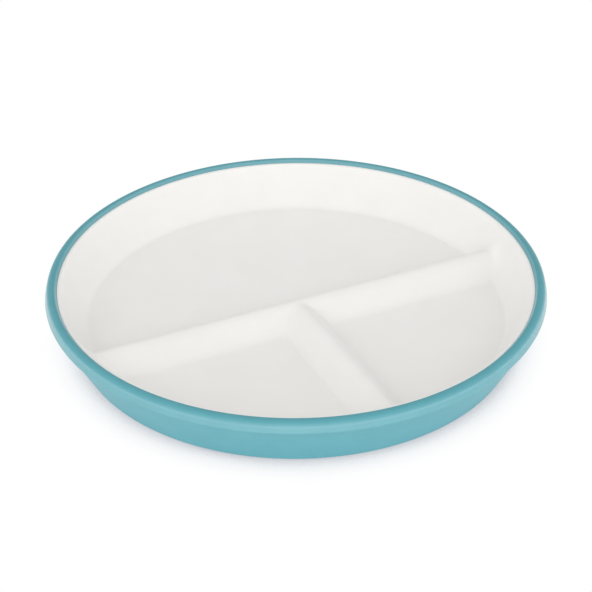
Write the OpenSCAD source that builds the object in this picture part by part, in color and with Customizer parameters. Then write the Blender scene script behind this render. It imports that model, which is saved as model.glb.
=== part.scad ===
// Divided plate: a rigid white plate with a T of dividers, seated in a soft outer sleeve.
// Millimetres. The origin is the middle of the underside, +Z is up, the long divider runs
// along X and the short divider runs from it towards -Y.

/* [Overall] */
// Diameter over the rolled rim
plate_d = 200; // [190:1:220]
// Height from the table to the top of the rolled rim
plate_h = 25; // [24:0.5:28]
// Lean of the walls away from upright, in degrees
wall_lean = 29.5; // [28:0.5:31]

/* [Outer sleeve] */
// Width of the rolled rim
bead_w = 5.2; // [5:0.1:5.8]
// Height of the rolled rim
bead_h = 6; // [5.8:0.1:7]
// Width of the rolled rim that shows outside the plate's edge
bead_show = 4.6; // [4.3:0.1:4.8]
// Thickness of the sleeve's wall
sleeve_t = 3.6; // [3:0.1:3.8]
// Thickness of the sleeve's base
base_t = 2.8; // [2.2:0.1:3.2]
// Height of the foot ring under the base
foot_h = 2; // [1.5:0.1:2.5]
// Width of the foot ring
foot_w = 8; // [6:0.5:12]
// Gap between the sleeve's wall and the plate's wall
fit_gap = 0.3; // [0.2:0.05:0.4]

/* [Inner plate] */
// Thickness of the plate
plate_t = 2.6; // [2.2:0.1:2.8]
// Drop from the top of the rolled rim to the plate's edge
edge_drop = 1.2; // [1:0.1:1.5]
// Width of the plate's edge, seen from above
edge_w = 1.1; // [1:0.1:1.4]
// Radius where the floor turns up into the wall
floor_fillet = 4; // [3:0.5:6]

/* [Dividers] */
// Height of the long divider's crest above the floor
ridge_h = 8; // [7:0.5:9]
// Drop from the long divider's crest to the short one's
ridge_drop = 0.3; // [0.2:0.1:1]
// Slope of the dividers' sides, in degrees
ridge_slope = 46; // [44:1:48]
// Radius along the crests
crest_r = 5; // [4:0.1:5.5]
// Radius where the dividers' sides meet the floor
ridge_fillet = 4; // [3:0.5:5]
// Distance of the long divider from the middle, towards the small compartments
ridge_shift = 2; // [0:0.5:4]

/* [Hidden] */

$fn = 180;
// Straight steps in each rounded corner of a section
arc_steps = 8;
// Length that a cutting shape runs past the solid
past = 1;

// Heights of the sleeve's base, the plate's floor and the plate's edge
seat_z = foot_h + base_t;
floor_z = seat_z + plate_t;
edge_z = plate_h - edge_drop;

// Radii of the plate's edge, and of its inner wall where that meets the floor
edge_r = plate_d / 2 - bead_show - fit_gap;
lean = tan(wall_lean);
floor_r = edge_r - edge_w - (edge_z - floor_z) * lean;

// Small rounds, where edges would be sharp
edge_round = 0.5;
shoulder_round = 2;
foot_round = 1.4;
recess_round = 0.8;

// Heights above the floor at which the sides of a divider, and of the hollow under it, would meet
ridge_apex = ridge_h + crest_r * (1 / cos(ridge_slope) - 1);
hollow_apex = ridge_apex - plate_t / cos(ridge_slope);
// Radius along the top of the hollow, which keeps the crest as thick as the rest
hollow_r = crest_r - plate_t;
// Depth to which the foot of a divider runs into the floor
ridge_sink = 0.1;

// Radius at height z of the plate's inner wall, moved outwards by a distance square to the wall
function wall_r(z, out = 0) = floor_r + (z - floor_z) * lean + out / cos(wall_lean);
// Height at which the moved wall reaches radius r
function wall_z(r, out = 0) = floor_z + (r - floor_r - out / cos(wall_lean)) / lean;

function unit(v) = v / norm(v);
function flat(p) = [p.x, p.y];

// Points along the arc of radius r that rounds the corner b between a and c
function corner_arc(a, b, c, r) =
    let (
        u = unit(a - b),
        v = unit(c - b),
        half = acos(u * v) / 2,
        centre = b + unit(u + v) * r / sin(half),
        first = b + u * r / tan(half) - centre,
        last = b + v * r / tan(half) - centre,
        start = atan2(first.y, first.x),
        full = atan2(last.y, last.x) - start,
        turn = full > 180 ? full - 360 : full < -180 ? full + 360 : full
    )
    [
        for (i = [0:arc_steps])
            let (angle = start + turn * i / arc_steps)
            centre + r * [cos(angle), sin(angle)]
    ];

// A closed outline from corners [x, y, radius], each rounded to its radius
function rounded(corners) =
    let (n = len(corners))
    [
        for (i = [0:n - 1])
            let (
                before = flat(corners[(i + n - 1) % n]),
                here = flat(corners[i]),
                after = flat(corners[(i + 1) % n]),
                r = corners[i].z
            )
            each r > 0 ? corner_arc(before, here, after, r) : [here]
    ];

// Corners of the plate's outside, from the middle of its underside up to its shoulder,
// with a gap added at the wall
function plate_outside(gap) =
    let (
        out = plate_t + gap,
        r = edge_r + gap
    )
    [
        [0, seat_z, 0],
        [wall_r(seat_z, out), seat_z, floor_fillet + out],
        [r, wall_z(r, out), shoulder_round],
    ];

// Upright section of the plate without its dividers
module plate_section() {
    polygon(rounded(concat(plate_outside(0), [
        [edge_r, edge_z, edge_round],
        [wall_r(edge_z), edge_z, edge_round],
        [floor_r, floor_z, floor_fillet],
        [0, floor_z, 0],
    ])));
}

// Upright section of the pocket that the plate sits in
module pocket_section() {
    top_z = plate_h + past;
    polygon(rounded(concat(plate_outside(fit_gap), [
        [edge_r + fit_gap, top_z, 0],
        [0, top_z, 0],
    ])));
}

// Upright section of the sleeve's wall and base, before the pocket is taken out
module sleeve_section() {
    out = plate_t + fit_gap + sleeve_t;
    base_r = wall_r(0, out);
    recess_r = base_r - foot_w;
    bead_x = plate_d / 2 - bead_w / 2;
    wall_top_z = plate_h - bead_h + bead_w / 4;
    inner_top_z = plate_h - bead_w / 2;
    polygon(rounded([
        [0, foot_h, 0],
        [recess_r, foot_h, recess_round],
        [recess_r + foot_h / 2, 0, recess_round],
        [base_r, 0, foot_round],
        [wall_r(wall_top_z, out), wall_top_z, 0],
        [bead_x, inner_top_z, 0],
        [0, inner_top_z, 0],
    ]));
}

// Upright section of the rolled rim
module bead_section() {
    outer = plate_d / 2;
    bead_round = bead_w / 2 - edge_round / 5;
    polygon(rounded([
        [outer - bead_w, plate_h - bead_h, bead_round],
        [outer, plate_h - bead_h, bead_round],
        [outer, plate_h, bead_round],
        [outer - bead_w, plate_h, bead_round],
    ]));
}

// Section across a divider, with heights measured from the floor
module ridge_section() {
    low = -plate_t / 2;
    foot_y = (ridge_apex + ridge_sink) / tan(ridge_slope);
    reach_y = foot_y + ridge_fillet;
    polygon(rounded([
        [-reach_y, low, 0],
        [reach_y, low, 0],
        [reach_y, -ridge_sink, 0],
        [foot_y, -ridge_sink, ridge_fillet],
        [0, ridge_apex, crest_r],
        [-foot_y, -ridge_sink, ridge_fillet],
        [-reach_y, -ridge_sink, 0],
    ]));
}

// Section across the hollow under a divider, with heights measured from the floor
module hollow_section() {
    low = -plate_t - past;
    foot_y = (hollow_apex - low) / tan(ridge_slope);
    polygon(rounded([
        [-foot_y, low, 0],
        [foot_y, low, 0],
        [0, hollow_apex, hollow_r],
    ]));
}

// Draws a section along both bars of the T
module along_t() {
    bar = plate_d / 2;
    translate([-bar, -ridge_shift, floor_z])
        rotate([90, 0, 90])
            linear_extrude(2 * bar) children();
    translate([0, -ridge_shift, floor_z - ridge_drop])
        rotate([90, 0, 0])
            linear_extrude(bar) children();
}

// Space inside the middle of the wall's thickness, where the dividers end
module inside_wall() {
    out = plate_t / 2;
    translate([0, 0, seat_z])
        cylinder(h = edge_z - seat_z, r1 = wall_r(seat_z, out), r2 = wall_r(edge_z, out));
}

// Upright drum in which the hollow under the dividers ends, short of the wall
module hollow_drum() {
    low_z = seat_z - 2 * past;
    translate([0, 0, low_z])
        cylinder(h = edge_z - low_z, r = wall_r(seat_z, -edge_round));
}

// Soft sleeve: leaning wall, rolled rim, and a base with a foot ring round a shallow recess
module outer_sleeve() {
    color("#73b6bf")
        rotate_extrude()
            difference() {
                union() {
                    sleeve_section();
                    bead_section();
                }
                pocket_section();
            }
}

// Rigid plate: dished shell with a T of hollow dividers rising from its floor
module inner_plate() {
    color("#f1f0ee")
        difference() {
            union() {
                rotate_extrude() plate_section();
                intersection() {
                    along_t() ridge_section();
                    inside_wall();
                }
            }
            intersection() {
                along_t() hollow_section();
                hollow_drum();
            }
        }
}

outer_sleeve();
inner_plate();
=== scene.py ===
"""Looks of the divided plate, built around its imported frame.

There are two pieces: a soft outer sleeve with a rolled rim, and a rigid white plate with a T of
dividers that sits in it. Metres, +Z up, the long divider along X.
"""
import math

import bmesh
import bpy
import numpy as np
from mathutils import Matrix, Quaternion, Vector


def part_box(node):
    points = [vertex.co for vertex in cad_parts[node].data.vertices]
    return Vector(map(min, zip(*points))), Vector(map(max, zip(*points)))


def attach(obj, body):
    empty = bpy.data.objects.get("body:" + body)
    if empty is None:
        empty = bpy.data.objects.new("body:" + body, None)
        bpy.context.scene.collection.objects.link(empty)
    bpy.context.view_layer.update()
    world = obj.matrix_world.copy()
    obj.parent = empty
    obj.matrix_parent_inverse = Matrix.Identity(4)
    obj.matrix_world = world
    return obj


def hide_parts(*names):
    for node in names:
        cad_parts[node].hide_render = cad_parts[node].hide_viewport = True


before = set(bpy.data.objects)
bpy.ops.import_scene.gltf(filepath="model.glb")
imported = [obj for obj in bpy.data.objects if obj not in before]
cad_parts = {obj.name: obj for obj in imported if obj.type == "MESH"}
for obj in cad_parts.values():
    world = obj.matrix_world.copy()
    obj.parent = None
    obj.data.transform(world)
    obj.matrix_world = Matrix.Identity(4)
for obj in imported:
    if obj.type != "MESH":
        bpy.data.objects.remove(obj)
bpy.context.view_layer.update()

MM = 0.001

# Sizes that the frame gives
sleeve_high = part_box("outer_sleeve")[1]
plate_low, plate_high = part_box("inner_plate")
RIM_R = sleeve_high.x
RIM_TOP = sleeve_high.z
EDGE_R = plate_high.x
EDGE_TOP = plate_high.z
SEAT_Z = plate_low.z

# Lean of all walls away from upright
WALL_LEAN = math.radians(29.5)

# Outer sleeve
SLEEVE_T = 3.6 * MM
FIT_GAP = 0.03 * MM
FOOT_H = 2 * MM
FOOT_W = 8 * MM
CREASE_Z = RIM_TOP - 5.4 * MM
BEAD_UNDERSIDE = math.radians(20)
BEAD_LEAN = math.radians(13)
LIP_SLOPE = math.radians(50)
LIP_DROP = 1.22 * MM
FOOT_ROUND = 1.4 * MM
RECESS_ROUND = 0.8 * MM
CREASE_ROUND = 0.3 * MM
BEAD_LOW_ROUND = 0.7 * MM
BEAD_TOP_ROUND = 2.8 * MM
LIP_TOP_ROUND = 0.4 * MM
LIP_ROUND = 0.1 * MM

# Inner plate
PLATE_T = 2.6 * MM
EDGE_W = 1.1 * MM
EDGE_ROUND = 0.5 * MM
OUTER_EDGE_ROUND = 0.1 * MM
SHOULDER_ROUND = 2 * MM
FLOOR_ROUND = 4 * MM

# Dividers, with the blends that round them given as heights over which two slopes run together
RIDGE_H = 8 * MM
RIDGE_DROP = 0.3 * MM
RIDGE_SLOPE = math.radians(46)
RIDGE_SHIFT = 2 * MM
CREST_BLEND = 9 * MM
FOOT_BLEND = 1.8 * MM
CORNER_BLEND = 4 * MM
LEAST_BLEND = 0.001 * MM
WALL_BLEND = 3 * MM
END_BLEND = 7 * MM
HOLLOW_END_R = 82 * MM
HOLLOW_END_SLOPE = math.radians(75)
HOLLOW_BLEND = 0.8 * MM
HOLLOW_CREST_BLEND = 4.4 * MM

# Fineness of the meshes
SPIN_STEPS = 256
ARC_STEP = math.radians(8)
HOLD_EDGE = 0.3 * MM
GRID_CELLS = 96
GRID_HALF = 45 * MM
GRID_EVENNESS = 0.55
FLOOR_RINGS = 28
FLOOR_RING_R = 80 * MM
WALL_RING_STEP = 0.45 * MM
WALL_RING_DROP = 1.2 * MM
MERGE_DISTANCE = 0.002 * MM

# Sizes that follow from those above
LEAN = math.tan(WALL_LEAN)
FLOOR_Z = SEAT_Z + PLATE_T
FLOOR_R = EDGE_R - EDGE_W - (EDGE_TOP - FLOOR_Z) * LEAN
RIDGE_APEX = RIDGE_H + CREST_BLEND / 4
RIDGE_CENTRE = Vector((0, -RIDGE_SHIFT))


def wall_r(z, out=0.0):
    """Radius at height z of the plate's inner wall, moved outwards by a distance square to it."""
    return FLOOR_R + (z - FLOOR_Z) * LEAN + out / math.cos(WALL_LEAN)


def wall_z(r, out=0.0):
    """Height at which the moved wall reaches radius r."""
    return FLOOR_Z + (r - FLOOR_R - out / math.cos(WALL_LEAN)) / LEAN


# Sections

def corner_arc(before, corner, after, radius):
    """Points along the arc that rounds a corner of a line."""
    u = (before - corner).normalized()
    v = (after - corner).normalized()
    half = u.angle(v) / 2
    centre = corner + (u + v).normalized() * radius / math.sin(half)
    first = corner + u * radius / math.tan(half) - centre
    last = corner + v * radius / math.tan(half) - centre
    start = math.atan2(first.y, first.x)
    turn = (math.atan2(last.y, last.x) - start + math.pi) % math.tau - math.pi
    steps = max(3, round(abs(turn) / ARC_STEP))
    angles = [start + turn * i / steps for i in range(steps + 1)]
    return [centre + radius * Vector((math.cos(a), math.sin(a))) for a in angles]


def rounded(corners):
    """An open line through corners (r, z, radius), with all but its ends rounded."""
    points = [Vector(corners[0][:2])]
    for before, here, after in zip(corners, corners[1:], corners[2:]):
        points += corner_arc(Vector(before[:2]), Vector(here[:2]), Vector(after[:2]), here[2])
    return points + [Vector(corners[-1][:2])]


def held(points):
    """The same line with a point close to both ends of each long straight, to keep it flat."""
    line = [points[0]]
    for here, there in zip(points, points[1:]):
        step = there - here
        if step.length > 4 * HOLD_EDGE:
            hold = step.normalized() * HOLD_EDGE
            line += [here + hold, there - hold]
        line.append(there)
    return line


def sleeve_line():
    """Section of the sleeve, from the middle of its underside round to the middle of its pocket."""
    pocket_out = PLATE_T + FIT_GAP
    out = pocket_out + SLEEVE_T
    base_r = wall_r(0, out)
    recess_r = base_r - FOOT_W
    crease_r = wall_r(CREASE_Z, out)
    pocket_r = EDGE_R + FIT_GAP
    turn = math.pi / 2 - BEAD_UNDERSIDE
    past_round = math.cos((BEAD_LEAN - turn) / 2) / math.cos((BEAD_LEAN + turn) / 2) - 1
    bead_r = RIM_R + BEAD_LOW_ROUND * past_round
    bead_low_z = CREASE_Z + (bead_r - crease_r) * math.tan(BEAD_UNDERSIDE)
    bead_top_r = bead_r - (RIM_TOP - bead_low_z) * math.tan(BEAD_LEAN)
    lip_top_r = pocket_r + LIP_DROP / math.tan(LIP_SLOPE)
    return held(rounded([
        (0, FOOT_H),
        (recess_r, FOOT_H, RECESS_ROUND),
        (recess_r + FOOT_H / 2, 0, RECESS_ROUND),
        (base_r, 0, FOOT_ROUND),
        (crease_r, CREASE_Z, CREASE_ROUND),
        (bead_r, bead_low_z, BEAD_LOW_ROUND),
        (bead_top_r, RIM_TOP, BEAD_TOP_ROUND),
        (lip_top_r, RIM_TOP, LIP_TOP_ROUND),
        (pocket_r, RIM_TOP - LIP_DROP, LIP_ROUND),
        (pocket_r, wall_z(pocket_r, pocket_out), SHOULDER_ROUND),
        (wall_r(SEAT_Z, pocket_out), SEAT_Z, FLOOR_ROUND + pocket_out),
        (0, SEAT_Z),
    ]))


def plate_edge_line():
    """Section of the plate from high on its inner wall, over its edge, down to its underside."""
    start_z = EDGE_TOP - WALL_RING_DROP
    under_r = wall_r(SEAT_Z, PLATE_T) - 2 * FLOOR_ROUND
    return held(rounded([
        (wall_r(start_z), start_z),
        (wall_r(EDGE_TOP), EDGE_TOP, EDGE_ROUND),
        (EDGE_R, EDGE_TOP, OUTER_EDGE_ROUND),
        (EDGE_R, wall_z(EDGE_R, PLATE_T), SHOULDER_ROUND),
        (wall_r(SEAT_Z, PLATE_T), SEAT_Z, FLOOR_ROUND + PLATE_T),
        (under_r, SEAT_Z),
    ]))


# Heights of the plate's two faces

def smooth_max(a, b, blend):
    """The higher of two heights, run together over the height blend."""
    return np.maximum(a, b) + np.maximum(blend - np.abs(a - b), 0) ** 2 / (4 * blend)


def side_height(across, apex, blend):
    """Height of a divider at a distance across it, with its crest rounded."""
    side = math.tan(RIDGE_SLOPE) * across
    return apex - smooth_max(side, -side, blend)


def t_height(x, y, apex, blend):
    """Height of the T of dividers above its foot, before the floor is run into it."""
    from_long = y + RIDGE_SHIFT
    from_short = np.hypot(x, np.maximum(from_long, 0))
    long_bar = side_height(from_long, apex, blend)
    short_bar = side_height(from_short, apex, blend) - RIDGE_DROP
    crest = apex - blend / 4
    below_crest = np.clip(crest - np.maximum(long_bar, short_bar), LEAST_BLEND, CORNER_BLEND)
    return smooth_max(long_bar, short_bar, below_crest)


def top_z(x, y):
    """Height of the plate's upper face: floor, dividers and wall."""
    wall = (np.hypot(x, y) - FLOOR_R) / LEAN
    dish = smooth_max(wall, 0, WALL_BLEND)
    up_wall = np.clip(dish / RIDGE_H, 0, 1)
    blend = FOOT_BLEND + (END_BLEND - FOOT_BLEND) * up_wall
    return FLOOR_Z + smooth_max(dish, t_height(x, y, RIDGE_APEX, CREST_BLEND), blend)


def under_z(x, y):
    """Height of the plate's underside, hollow below the dividers."""
    apex = RIDGE_APEX - PLATE_T / math.cos(RIDGE_SLOPE) + PLATE_T
    end = (HOLLOW_END_R - np.hypot(x, y)) * math.tan(HOLLOW_END_SLOPE)
    hollow = t_height(x, y, apex, HOLLOW_CREST_BLEND)
    closed = -smooth_max(-hollow, -end, HOLLOW_BLEND)
    return SEAT_Z + smooth_max(closed, 0, HOLLOW_BLEND)


# Modelling steps

def select_only(*objects):
    """Only these objects are selected, and the first is active."""
    bpy.ops.object.select_all(action="DESELECT")
    for obj in objects:
        obj.select_set(True)
    bpy.context.view_layer.objects.active = objects[0]


def finish_mesh(obj):
    """Closes seams and poles, turns the faces outwards and shades them smooth."""
    select_only(obj)
    bpy.ops.object.mode_set(mode="EDIT")
    bpy.ops.mesh.select_all(action="SELECT")
    bpy.ops.mesh.remove_doubles(threshold=MERGE_DISTANCE)
    bpy.ops.mesh.normals_make_consistent(inside=False)
    bpy.ops.object.mode_set(mode="OBJECT")
    bpy.ops.object.shade_smooth()


def turned_piece(name, line):
    """A section drawn vertex by vertex, then spun round the upright axis."""
    points = [Vector((p.x, 0, p.y)) for p in line]
    bpy.ops.object.select_all(action="DESELECT")
    bpy.ops.mesh.primitive_plane_add(size=MM)
    obj = bpy.context.object
    obj.name = name
    bpy.ops.object.mode_set(mode="EDIT")
    bpy.ops.mesh.merge(type="CENTER")
    bpy.ops.transform.translate(value=points[0])
    for here, there in zip(points, points[1:]):
        bpy.ops.mesh.extrude_region_move(TRANSFORM_OT_translate={"value": there - here})
    bpy.ops.mesh.select_all(action="SELECT")
    bpy.ops.mesh.spin(steps=SPIN_STEPS, angle=math.tau, center=(0, 0, 0), axis=(0, 0, 1))
    bpy.ops.object.mode_set(mode="OBJECT")
    finish_mesh(obj)
    return obj


def graded(u):
    """Spreads even grid lines from -1 to 1 so that they lie closer in the middle."""
    return GRID_EVENNESS * u + (1 - GRID_EVENNESS) * u ** 3


def floor_grid(name, height):
    """A square grid round the dividers' meeting point, its lines closer along both of them."""
    bpy.ops.object.select_all(action="DESELECT")
    bpy.ops.mesh.primitive_grid_add(x_subdivisions=GRID_CELLS, y_subdivisions=GRID_CELLS, size=2)
    obj = bpy.context.object
    obj.name = name
    for vertex in obj.data.vertices:
        x = graded(vertex.co.x) * GRID_HALF
        y = graded(vertex.co.y) * GRID_HALF - RIDGE_SHIFT
        vertex.co = (x, y, height(x, y))
    return obj


def spoke_reach(direction, radius):
    """Distance along a spoke from the dividers' meeting point to a circle round the axis."""
    along = RIDGE_CENTRE.dot(direction)
    return math.sqrt(along ** 2 - RIDGE_CENTRE.length_squared + radius ** 2) - along


def grid_reach(direction):
    """Distance along a spoke from the dividers' meeting point to the side of the grid."""
    return GRID_HALF / max(abs(direction.x), abs(direction.y))


def add_ring(obj, reach, height):
    """Extrudes the selected loop of edges and moves each new vertex along its spoke."""
    bpy.ops.mesh.extrude_region_move()
    mesh = bmesh.from_edit_mesh(obj.data)
    for vertex in mesh.verts:
        if vertex.select:
            spoke = vertex.co.xy - RIDGE_CENTRE
            direction = spoke.normalized()
            place = RIDGE_CENTRE + direction * reach(direction, spoke.length)
            vertex.co = (place.x, place.y, height(place.x, place.y))
    bmesh.update_edit_mesh(obj.data)


def select_border():
    """Selects the loop of edges round an open mesh."""
    bpy.ops.mesh.select_all(action="DESELECT")
    bpy.ops.mesh.select_mode(type="EDGE")
    bpy.ops.mesh.select_non_manifold()


def add_circle(obj, radius, height):
    """Adds a round ring of edges."""
    add_ring(obj, lambda direction, length: spoke_reach(direction, radius), height)


def dished_piece(name):
    """The plate: a grid for the middle, then ring after ring out, over the edge and in again."""
    obj = floor_grid(name, top_z)
    under = floor_grid(name + "_under", under_z)
    select_only(obj)
    bpy.ops.object.mode_set(mode="EDIT")
    select_border()
    for left in range(FLOOR_RINGS, 0, -1):
        add_ring(obj, lambda d, now: now + (spoke_reach(d, FLOOR_RING_R) - now) / left, top_z)
    edge = plate_edge_line()
    wall_rings = round((edge[0].x - FLOOR_RING_R) / WALL_RING_STEP)
    for radius in np.linspace(FLOOR_RING_R, edge[0].x, wall_rings + 1)[1:]:
        add_circle(obj, radius, top_z)
    for point in edge[1:]:
        add_circle(obj, point.x, lambda x, y: point.y)
    for left in range(FLOOR_RINGS, 0, -1):
        add_ring(obj, lambda d, now: now + (grid_reach(d) - now) / left, under_z)
    bpy.ops.object.mode_set(mode="OBJECT")
    select_only(obj, under)
    bpy.ops.object.join()
    finish_mesh(obj)
    return obj


# Finishes of the sleeve: tones, sizes of its cloudiness and grain, depth of the grain, gloss, and the
# gloss of the smooth skin on its rolled rim
TEAL_TONES = ((0.086, 0.325, 0.378), (0.092, 0.341, 0.396))
TEAL_CLOUD = 9 * MM
TEAL_GRAIN = 0.5 * MM
TEAL_GRAIN_DEPTH = 0.002 * MM
TEAL_ROUGHNESS = (0.44, 0.48)
TEAL_IOR = 1.5
TEAL_SPECULAR = 0.4
SKIN_ROUGHNESS = 0.26
SKIN_IOR = 1.62

# Upward tilts over which that skin comes in above the wall and goes out towards the top, and how far
# inwards a face looks where the skin of the lip is full
SKIN_STARTS = (-0.4, -0.2)
SKIN_ENDS = (0.3, 0.8)
LIP_SKIN_FULL = -30 * MM

# Finishes of the plate
WHITE_TONES = ((0.862, 0.852, 0.834), (0.878, 0.868, 0.852))
WHITE_CLOUD = 14 * MM
WHITE_GRAIN = 0.4 * MM
WHITE_GRAIN_DEPTH = 0.006 * MM
WHITE_ROUGHNESS = (0.33, 0.41)
WHITE_IOR = 1.49


# Materials

def new_material(name):
    """A node material, with its shader and a place to read patterns from."""
    material = bpy.data.materials.new(name)
    material.use_nodes = True
    nodes = material.node_tree.nodes
    shader = nodes["Principled BSDF"]
    place = nodes.new("ShaderNodeTexCoord")
    return material, shader, place.outputs["Object"]


def noise(tree, place, grain):
    """A noise pattern whose grains are about this size."""
    node = tree.nodes.new("ShaderNodeTexNoise")
    node.inputs["Scale"].default_value = 1 / grain
    tree.links.new(place, node.inputs["Vector"])
    return node.outputs["Fac"]


def ramp(tree, value, first, last, low, high):
    """A smooth change from a low level to a high one as a value goes from first to last."""
    node = tree.nodes.new("ShaderNodeMapRange")
    node.interpolation_type = "SMOOTHSTEP"
    node.inputs["From Min"].default_value = first
    node.inputs["From Max"].default_value = last
    node.inputs["To Min"].default_value = low
    node.inputs["To Max"].default_value = high
    tree.links.new(value, node.inputs["Value"])
    return node.outputs["Result"]


def combined(tree, operation, a, b):
    """Two levels made one, such as their product or the greater of them."""
    node = tree.nodes.new("ShaderNodeMath")
    node.operation = operation
    tree.links.new(a, node.inputs[0])
    tree.links.new(b, node.inputs[1])
    return node.outputs["Value"]


def facing(tree, vector, direction):
    """How far a vector points in a direction, which is fixed or another vector."""
    node = tree.nodes.new("ShaderNodeVectorMath")
    node.operation = "DOT_PRODUCT"
    tree.links.new(vector, node.inputs[0])
    if isinstance(direction, bpy.types.NodeSocket):
        tree.links.new(direction, node.inputs[1])
    else:
        node.inputs[1].default_value = direction
    return node.outputs["Value"]


def spread(tree, pattern, low, high):
    """The middle half of a pattern, spread from a low value to a high one."""
    return ramp(tree, pattern, 0.25, 0.75, low, high)


def two_tones(tree, pattern, first, second):
    """A colour that goes from one tone to another with a pattern."""
    node = tree.nodes.new("ShaderNodeMix")
    node.data_type = "RGBA"
    node.inputs["A"].default_value = (*first, 1)
    node.inputs["B"].default_value = (*second, 1)
    tree.links.new(pattern, node.inputs["Factor"])
    return node.outputs["Result"]


def bump(tree, pattern, depth):
    """A bump of this depth from a pattern."""
    node = tree.nodes.new("ShaderNodeBump")
    node.inputs["Distance"].default_value = depth
    tree.links.new(pattern, node.inputs["Height"])
    return node.outputs["Normal"]


def rim_skin(tree, place):
    """Where the sleeve has its smooth skin: on the sides of the rolled rim and on its lip."""
    normal = place.node.outputs["Normal"]
    upwards = facing(tree, normal, (0, 0, 1))
    above_wall = ramp(tree, upwards, *SKIN_STARTS, 0, 1)
    below_top = ramp(tree, upwards, *SKIN_ENDS, 1, 0)
    sides = combined(tree, "MULTIPLY", above_wall, below_top)
    lip = ramp(tree, facing(tree, normal, place), LIP_SKIN_FULL, 0, 1, 0)
    return combined(tree, "MAXIMUM", sides, lip)


def silicone():
    """Teal silicone: matt, with a fine grain, and a smooth skin on the rolled rim's sides and lip."""
    material, shader, place = new_material("teal_silicone")
    tree = material.node_tree
    clouds = spread(tree, noise(tree, place, TEAL_CLOUD), 0, 1)
    grain = noise(tree, place, TEAL_GRAIN)
    tree.links.new(two_tones(tree, clouds, *TEAL_TONES), shader.inputs["Base Color"])
    tree.links.new(spread(tree, grain, *TEAL_ROUGHNESS), shader.inputs["Roughness"])
    tree.links.new(bump(tree, grain, TEAL_GRAIN_DEPTH), shader.inputs["Normal"])
    tree.links.new(rim_skin(tree, place), shader.inputs["Coat Weight"])
    shader.inputs["IOR"].default_value = TEAL_IOR
    shader.inputs["Specular IOR Level"].default_value = TEAL_SPECULAR
    shader.inputs["Coat Roughness"].default_value = SKIN_ROUGHNESS
    shader.inputs["Coat IOR"].default_value = SKIN_IOR
    return material


def white_plastic():
    """Satin white plastic: a soft gloss over a barely uneven moulded face."""
    material, shader, place = new_material("white_plastic")
    tree = material.node_tree
    clouds = spread(tree, noise(tree, place, WHITE_CLOUD), 0, 1)
    grain = noise(tree, place, WHITE_GRAIN)
    tree.links.new(two_tones(tree, clouds, *WHITE_TONES), shader.inputs["Base Color"])
    tree.links.new(spread(tree, grain, *WHITE_ROUGHNESS), shader.inputs["Roughness"])
    tree.links.new(bump(tree, grain, WHITE_GRAIN_DEPTH), shader.inputs["Normal"])
    shader.inputs["IOR"].default_value = WHITE_IOR
    return material


# Stage

CAMERA_AZIMUTH = math.radians(-25.2)
CAMERA_ELEVATION = math.radians(33.4)
CAMERA_DISTANCE = 1.0
CAMERA_ROLL = -0.007
CAMERA_RAISE = 13.9 * MM
SENSOR = 36.0
FRAME_PX = 592
FOCAL_PX = 2474


def towards(azimuth, elevation):
    """Direction from the object to a place at this azimuth and elevation."""
    level = math.cos(elevation)
    return Vector((math.sin(azimuth) * level, -math.cos(azimuth) * level, math.sin(elevation)))


def add_camera():
    """A long lens from the front left, looking down on the plate."""
    data = bpy.data.cameras.new("camera")
    camera = bpy.data.objects.new("camera", data)
    bpy.context.scene.collection.objects.link(camera)
    bpy.context.scene.camera = camera
    data.sensor_width = SENSOR
    data.lens = SENSOR * FOCAL_PX / FRAME_PX
    back = towards(CAMERA_AZIMUTH, CAMERA_ELEVATION)
    right = Vector((math.cos(CAMERA_AZIMUTH), math.sin(CAMERA_AZIMUTH), 0))
    up = back.cross(right)
    camera.location = back * CAMERA_DISTANCE
    aim = (up * CAMERA_RAISE - camera.location).to_track_quat("-Z", "Y")
    camera.rotation_mode = "QUATERNION"
    camera.rotation_quaternion = aim @ Quaternion((0, 0, 1), CAMERA_ROLL)


# Brightness of the room overhead, round the front and sides and behind the plate, and of a soft
# light high in front
OVERHEAD_LIGHT = (0.55, 0.545, 0.53)
ROOM_LIGHT = 1.22
BACK_LIGHT = 0.40
FRONT_LIGHT = 0.5
FRONT_LIGHT_ELEVATION = math.radians(45)

# Where the room starts to dim overhead, where it would be dimmest behind, and the soft light's edge,
# each as how far that part of the room lies upwards, frontwards or towards the light
OVERHEAD_STARTS = 0.6
BACK_DIMMEST = -1.2
FRONT_LIGHT_EDGE = 0.8


def add_world():
    """A pale room, dimmer overhead and behind the plate, with a soft light high in front of it."""
    world = bpy.data.worlds.new("studio")
    bpy.context.scene.world = world
    world.use_nodes = True
    tree = world.node_tree
    place = tree.nodes.new("ShaderNodeTexCoord").outputs["Generated"]
    front = facing(tree, place, towards(CAMERA_AZIMUTH, 0))
    front_light = facing(tree, place, towards(CAMERA_AZIMUTH, FRONT_LIGHT_ELEVATION))
    height = facing(tree, place, (0, 0, 1))
    walls = ramp(tree, front, BACK_DIMMEST, 0, BACK_LIGHT, ROOM_LIGHT)
    room = tree.nodes.new("ShaderNodeMix")
    room.data_type = "RGBA"
    room.inputs["B"].default_value = (*OVERHEAD_LIGHT, 1)
    tree.links.new(ramp(tree, height, OVERHEAD_STARTS, 1, 0, 1), room.inputs["Factor"])
    tree.links.new(walls, room.inputs["A"])
    glow = ramp(tree, front_light, FRONT_LIGHT_EDGE, 1, 0, FRONT_LIGHT)
    lit = tree.nodes.new("ShaderNodeVectorMath")
    lit.operation = "ADD"
    tree.links.new(room.outputs["Result"], lit.inputs[0])
    tree.links.new(glow, lit.inputs[1])
    tree.links.new(lit.outputs["Vector"], tree.nodes["Background"].inputs["Color"])


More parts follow.
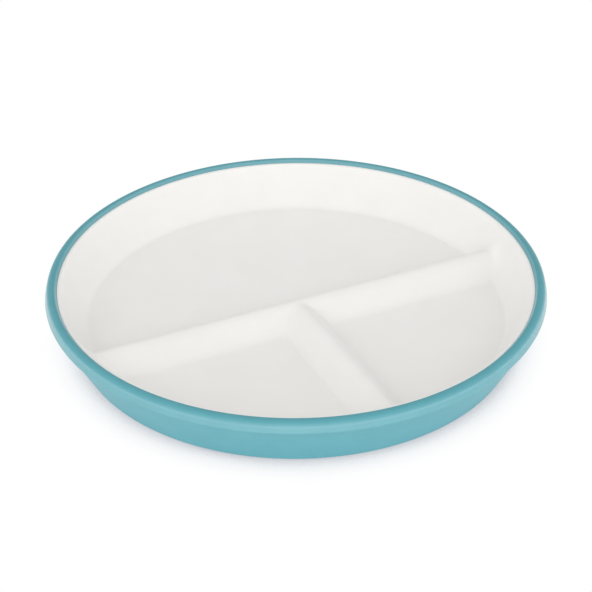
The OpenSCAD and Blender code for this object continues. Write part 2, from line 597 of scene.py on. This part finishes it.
# Low strip lights that stand just clear of the table all round, about as high as the plate, and
# dimmer to the back
STRIP_COUNT = 8
STRIP_FROM = 0.27
STRIP_SIZE = (0.22, 0.025)
STRIP_LIFT = 1 * MM
FRONT_STRIP_LIGHT = 2.7
BACK_STRIP_LIGHT = 0.5


def add_strips():
    """Strip lights round the table, which light the outside of the sleeve and not the dish."""
    width, height = STRIP_SIZE
    for number in range(STRIP_COUNT):
        turn = math.tau * number / STRIP_COUNT
        to_front = (1 + math.cos(turn)) / 2
        level = BACK_STRIP_LIGHT + (FRONT_STRIP_LIGHT - BACK_STRIP_LIGHT) * to_front
        data = bpy.data.lights.new("strip", "AREA")
        data.shape = "RECTANGLE"
        data.size = width
        data.size_y = height
        data.energy = level * math.pi * width * height
        strip = bpy.data.objects.new("strip", data)
        bpy.context.scene.collection.objects.link(strip)
        out = towards(CAMERA_AZIMUTH + turn, 0)
        strip.location = out * STRIP_FROM + Vector((0, 0, height / 2 + STRIP_LIFT))
        strip.rotation_euler = (-out).to_track_quat("-Z", "Y").to_euler()
        strip.visible_camera = False


# The floor: its size, the hair's breadth that it lies below the foot ring, how pale it is, and the
# light that it gives off close to the plate, which fades between two distances from the middle
FLOOR_SIZE = 40
FLOOR_BELOW = 0.05 * MM
FLOOR_WHITE = (0.7, 0.7, 0.7)
TABLE_GLOW = 0.47
TABLE_GLOW_FULL = 0.12
TABLE_GLOW_END = 0.19

# How far round each place on the floor its openness is judged, and the tones in which the floor is
# seen, from deep in the plate's shadow to the open
SHADOW_REACH = 0.3
FLOOR_TONES = (
    (0.265, (0.48, 0.52, 0.57)),
    (0.295, (0.69, 0.72, 0.75)),
    (0.33, (0.82, 0.85, 0.875)),
    (0.40, (0.92, 0.94, 0.955)),
    (0.56, (1, 1, 1)),
)


def table_light(tree):
    """A white floor that other surfaces are lit by, with a glow of its own close to the plate."""
    white = tree.nodes.new("ShaderNodeBsdfDiffuse")
    white.inputs["Color"].default_value = (*FLOOR_WHITE, 1)
    place = tree.nodes.new("ShaderNodeTexCoord")
    distance = tree.nodes.new("ShaderNodeVectorMath")
    distance.operation = "LENGTH"
    tree.links.new(place.outputs["Object"], distance.inputs[0])
    from_middle = distance.outputs["Value"]
    glow = tree.nodes.new("ShaderNodeEmission")
    fade = ramp(tree, from_middle, TABLE_GLOW_FULL, TABLE_GLOW_END, TABLE_GLOW, 0)
    tree.links.new(fade, glow.inputs["Strength"])
    lit = tree.nodes.new("ShaderNodeAddShader")
    tree.links.new(white.outputs[0], lit.inputs[0])
    tree.links.new(glow.outputs[0], lit.inputs[1])
    return lit.outputs[0]


def shown_floor(tree):
    """The floor as it is seen: white, but for the plate's shadow."""
    openness = tree.nodes.new("ShaderNodeAmbientOcclusion")
    openness.inputs["Distance"].default_value = SHADOW_REACH
    tones = tree.nodes.new("ShaderNodeValToRGB")
    stops = tones.color_ramp.elements
    for level, _ in FLOOR_TONES[1:-1]:
        stops.new(level)
    for stop, (level, tone) in zip(stops, FLOOR_TONES):
        stop.position = level
        stop.color = (*tone, 1)
    shown = tree.nodes.new("ShaderNodeEmission")
    tree.links.new(openness.outputs["AO"], tones.inputs["Fac"])
    tree.links.new(tones.outputs["Color"], shown.inputs["Color"])
    return shown.outputs[0]


def floor_material():
    """White floor: one look where it is seen, also in a reflection, and one where it lights others."""
    material = bpy.data.materials.new("white_floor")
    material.use_nodes = True
    tree = material.node_tree
    ray = tree.nodes.new("ShaderNodeLightPath").outputs
    seen = combined(tree, "MAXIMUM", ray["Is Camera Ray"], ray["Is Glossy Ray"])
    choose = tree.nodes.new("ShaderNodeMixShader")
    tree.links.new(combined(tree, "MAXIMUM", seen, ray["Is Transmission Ray"]), choose.inputs["Fac"])
    tree.links.new(table_light(tree), choose.inputs[1])
    tree.links.new(shown_floor(tree), choose.inputs[2])
    tree.links.new(choose.outputs[0], tree.nodes["Material Output"].inputs["Surface"])
    return material


def add_floor():
    """The surface that the plate stands on."""
    bpy.ops.object.select_all(action="DESELECT")
    bpy.ops.mesh.primitive_plane_add(size=FLOOR_SIZE, location=(0, 0, -FLOOR_BELOW))
    floor = bpy.context.object
    floor.name = "floor"
    floor.data.materials.append(floor_material())


# Pieces

def build_sleeve():
    """Soft sleeve: leaning wall, rolled rim, and a base with a foot ring round a shallow recess."""
    sleeve = turned_piece("soft_sleeve", sleeve_line())
    sleeve.data.materials.append(silicone())
    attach(sleeve, "sleeve")
    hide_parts("outer_sleeve")


def build_plate():
    """Rigid plate: a dished shell with a T of dividers that run softly into floor and wall."""
    plate = dished_piece("divided_plate")
    plate.data.materials.append(white_plastic())
    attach(plate, "plate")
    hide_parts("inner_plate")


build_sleeve()
build_plate()
add_floor()
add_camera()
add_world()
add_strips()
bpy.context.scene.view_settings.view_transform = "Standard"
